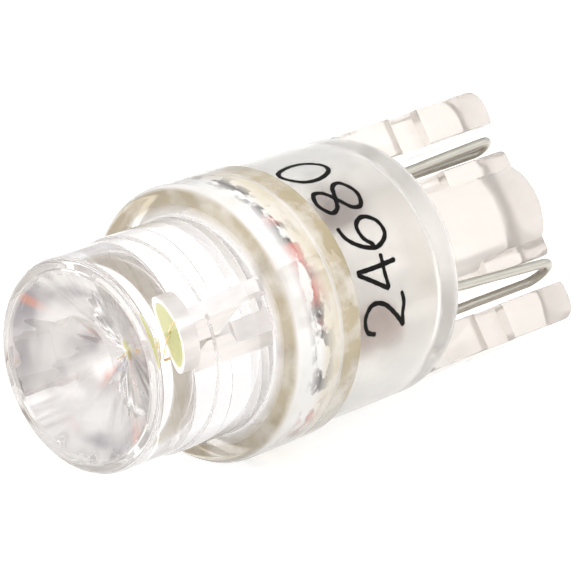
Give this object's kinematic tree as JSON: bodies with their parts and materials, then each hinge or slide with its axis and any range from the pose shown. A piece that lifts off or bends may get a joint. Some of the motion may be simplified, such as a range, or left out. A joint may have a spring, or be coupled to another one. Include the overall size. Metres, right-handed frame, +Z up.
{
  "type": "led bulb",
  "caption": "Small clear LED lamp with a dented cylindrical lens, glued in a milky wedge base whose slotted blade carries two folded contact wires.",
  "frame": {"origin": "on the surface the bulb lies on, below the middle of its length and its axis", "axes": "+X along the bulb from the lens to the blade, +Z up"},
  "size_m": [0.023, 0.0104, 0.0104],
  "materials": {
    "milky_polycarbonate": "moulded, translucent",
    "clear_epoxy": "cast, polished mould",
    "silvered_strip": "stamped and silver plated",
    "die": "sawn crystal",
    "phosphor": "filled resin",
    "gold_wire": "drawn",
    "resistor_lacquer": "dipped lacquer",
    "tinned_lead": "tinned wire",
    "diode_glass": "fused sleeve",
    "plug_metal": "drawn stud",
    "solder": "reflowed"
  },
  "bodies": {
    "root": {"wedge_base": "milky_polycarbonate", "lamp_lens": "clear_epoxy", "cathode_post": "silvered_strip", "anode_post": "silvered_strip", "led_die": "die", "phosphor_fill": "phosphor", "bond_wire_anode": "gold_wire", "bond_wire_cathode": "gold_wire", "resistor_body": "resistor_lacquer", "resistor_front_lead": "tinned_lead", "resistor_contact_wire": "tinned_lead", "diode_glass": "diode_glass", "diode_front_plug": "plug_metal", "diode_rear_plug": "plug_metal", "diode_chip": "die", "diode_front_lead": "tinned_lead", "diode_contact_wire": "tinned_lead", "solder_joint_resistor": "solder", "solder_joint_diode": "solder"}
  },
  "joints": []
}
